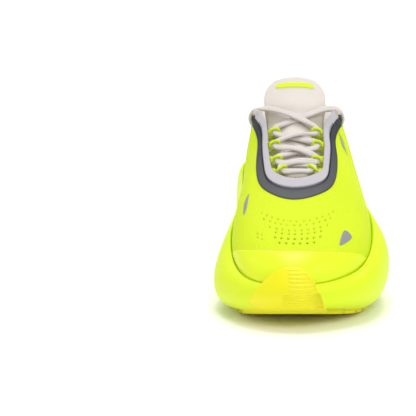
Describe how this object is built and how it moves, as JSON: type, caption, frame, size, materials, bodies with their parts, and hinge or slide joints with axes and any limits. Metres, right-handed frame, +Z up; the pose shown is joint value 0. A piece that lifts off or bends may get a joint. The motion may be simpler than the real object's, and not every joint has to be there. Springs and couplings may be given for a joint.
{
  "type": "running shoe",
  "caption": "Left running shoe: knit upper, cushioned foam sole with rubber tread and toe bumper, laced throat, padded tongue and collar.",
  "frame": {"origin": "on the ground, under the centre of the bounding box", "axes": "+Z up, +Y from toe to heel, +X from the medial side to the lateral side"},
  "size_m": [0.1177, 0.3012, 0.1368],
  "materials": {
    "outsole_rubber": "matt moulded rubber",
    "bumper_rubber": "satin moulded rubber with ridges",
    "foam": "moulded foam with a fine skin",
    "board": "non-woven board",
    "footbed": "brushed textile over foam",
    "knit": "ribbed knit with vent holes",
    "toe_film": "smooth fused film",
    "stiffener": "plain sheet",
    "heel_fabric": "woven textile",
    "tape": "woven tape",
    "padding": "soft foam",
    "lining": "knitted spacer textile",
    "trim_film": "charcoal fused film",
    "band": "pale brushed textile",
    "tongue_fabric": "padded microfibre",
    "badge": "raised print",
    "lace": "flat woven lace",
    "aglet": "clear tip",
    "reflective": "reflective print",
    "loop_cord": "round braided cord"
  },
  "bodies": {
    "shoe": {"aglet_1": "aglet", "aglet_2": "aglet", "backstay_tape": "tape", "collar_lining": "lining", "collar_padding": "padding", "eyestay_band": "band", "eyestay_overlay": "trim_film", "heel_counter": "stiffener", "heel_panel": "heel_fabric", "insole": "footbed", "lace": "lace", "lace_loop_lateral_1": "loop_cord", "lace_loop_lateral_2": "loop_cord", "lace_loop_lateral_3": "loop_cord", "lace_loop_lateral_4": "loop_cord", "lace_loop_medial_1": "loop_cord", "lace_loop_medial_2": "loop_cord", "lace_loop_medial_3": "loop_cord", "lace_loop_medial_4": "loop_cord", "midsole": "foam", "outsole_forefoot": "outsole_rubber", "outsole_heel": "outsole_rubber", "reflector_lateral": "reflective", "reflector_medial": "reflective", "side_dash_1": "reflective", "side_dash_2": "reflective", "side_dash_3": "reflective", "strobel_board": "board", "toe_bumper": "bumper_rubber", "toe_overlay": "toe_film", "toe_puff": "stiffener", "upper_knit": "knit"},
    "tongue": {"tongue_face": "tongue_fabric", "tongue_padding": "padding", "tongue_lining": "lining", "tongue_badge": "badge"}
  },
  "joints": [
    {"name": "tongue_hinge", "type": "hinge", "parent": "shoe", "child": "tongue", "pos_m": [-0.0025, -0.058, 0.074], "axis": [1, 0, 0], "range_deg": [-10, 0], "stiffness_Nm_per_rad": 0.4}
  ]
}
